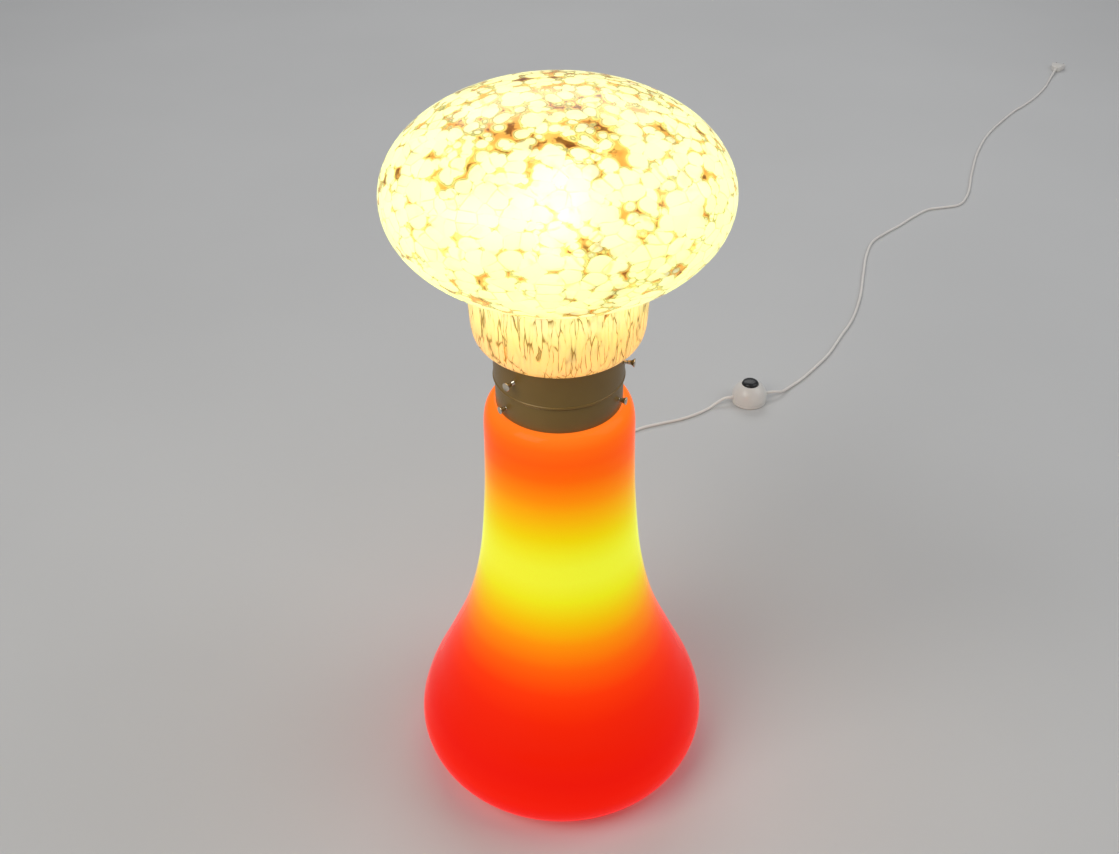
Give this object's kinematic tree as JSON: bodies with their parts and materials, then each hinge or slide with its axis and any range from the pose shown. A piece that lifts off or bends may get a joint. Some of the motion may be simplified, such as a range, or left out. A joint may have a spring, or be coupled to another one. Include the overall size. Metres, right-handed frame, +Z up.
{
  "type": "glass floor lamp",
  "caption": "Floor lamp of two glass bodies: a flared glowing orange base and a spotted mushroom shade, joined by a metal collar, with a cord, foot switch and plug.",
  "frame": {"origin": "centre of the ring that the glass base stands on, at floor level", "axes": "+Z up along the lamp's axis, -Y towards the front, the cord leaves at the back (+Y) and runs to the right and backwards"},
  "size_m": [1.5932, 2.5029, 0.821],
  "materials": {
    "base_glass": "glossy cased glass, orange with a red foot",
    "shade_glass": "glossy clear amber glass covered with white oval spots",
    "enamel": "satin khaki enamel",
    "brass": "turned",
    "steel": "zinc plated",
    "ceramic": "unglazed",
    "phenolic": "satin phenolic",
    "black_button": "satin",
    "white_plastic": "satin moulded",
    "cord": "satin vinyl sheath",
    "rubber": "matte",
    "bulb_cap": "rolled thread",
    "bulb_glass": "opal",
    "clear_glass": "clear"
  },
  "bodies": {
    "base": {"base_glass": "base_glass", "cord_grommet": "rubber", "inner_lead": "cord", "cord_lamp_to_switch": "cord", "switch_base": "white_plastic", "switch_cover": "white_plastic", "switch_spring": "steel", "switch_mechanism": "phenolic", "switch_screw_1": "steel", "switch_screw_2": "steel", "switch_strain_relief_1": "white_plastic", "switch_strain_relief_2": "white_plastic", "cord_switch_to_plug": "cord", "plug_body": "white_plastic", "plug_pin_1": "brass", "plug_pin_2": "brass", "plug_strain_relief": "white_plastic"},
    "shade": {"shade_glass": "shade_glass"},
    "upper_bulb": {"upper_bulb_cap": "bulb_cap", "upper_bulb_glass": "bulb_glass", "upper_bulb_stem": "clear_glass"},
    "lower_bulb": {"lower_bulb_cap": "bulb_cap", "lower_bulb_glass": "bulb_glass", "lower_bulb_stem": "clear_glass"},
    "foot_button": {"switch_button": "black_button"},
    "upper_thumbscrew_1": {"upper_thumbscrew_1": "brass"},
    "upper_thumbscrew_2": {"upper_thumbscrew_2": "brass"},
    "upper_thumbscrew_3": {"upper_thumbscrew_3": "brass"},
    "lower_thumbscrew_1": {"lower_thumbscrew_1": "brass"},
    "lower_thumbscrew_2": {"lower_thumbscrew_2": "brass"},
    "lower_thumbscrew_3": {"lower_thumbscrew_3": "brass"},
    "collar": {"jumper_wire": "cord", "lower_band": "enamel", "lower_centre_contact": "brass", "lower_holder_body": "phenolic", "lower_holder_cap": "phenolic", "lower_holder_insert": "ceramic", "lower_locknut": "brass", "lower_screw_shell": "brass", "lower_washer": "steel", "nipple_tube": "brass", "terminal_block": "white_plastic", "terminal_screw": "steel", "through_wire": "cord", "upper_band": "enamel", "upper_centre_contact": "brass", "upper_holder_body": "phenolic", "upper_holder_cap": "phenolic", "upper_holder_insert": "ceramic", "upper_locknut": "brass", "upper_screw_shell": "brass", "upper_washer": "steel"}
  },
  "joints": [
    {"name": "collar_lift", "type": "slide", "parent": "base", "child": "collar", "axis": [0, 0, 1], "range_m": [0, 0.22], "deforming": ["inner_lead"]},
    {"name": "shade_lift", "type": "slide", "parent": "collar", "child": "shade", "axis": [0, 0, 1], "range_m": [0, 0.22]},
    {"name": "upper_bulb_unscrew", "type": "slide", "parent": "collar", "child": "upper_bulb", "axis": [0, 0, 1], "range_m": [0, 0.026]},
    {"name": "lower_bulb_unscrew", "type": "slide", "parent": "collar", "child": "lower_bulb", "axis": [0, 0, -1], "range_m": [0, 0.026]},
    {"name": "upper_thumbscrew_1_turn_out", "type": "slide", "parent": "collar", "child": "upper_thumbscrew_1", "axis": [-0.6691, -0.7431, 0], "range_m": [0, 0.006]},
    {"name": "upper_thumbscrew_2_turn_out", "type": "slide", "parent": "collar", "child": "upper_thumbscrew_2", "axis": [0.9781, -0.2079, 0], "range_m": [0, 0.006]},
    {"name": "upper_thumbscrew_3_turn_out", "type": "slide", "parent": "collar", "child": "upper_thumbscrew_3", "axis": [-0.309, 0.9511, 0], "range_m": [0, 0.006]},
    {"name": "lower_thumbscrew_1_turn_out", "type": "slide", "parent": "collar", "child": "lower_thumbscrew_1", "axis": [-0.8192, -0.5736, 0], "range_m": [0, 0.006]},
    {"name": "lower_thumbscrew_2_turn_out", "type": "slide", "parent": "collar", "child": "lower_thumbscrew_2", "axis": [0.9272, -0.3746, 0], "range_m": [0, 0.006]},
    {"name": "lower_thumbscrew_3_turn_out", "type": "slide", "parent": "collar", "child": "lower_thumbscrew_3", "axis": [-0.1392, 0.9903, 0], "range_m": [0, 0.006]},
    {"name": "foot_button_press", "type": "slide", "parent": "base", "child": "foot_button", "axis": [0, 0, -1], "range_m": [0, 0.003], "stiffness_N_per_m": 1000, "springref_m": -0.002, "deforming": ["switch_spring"]}
  ]
}
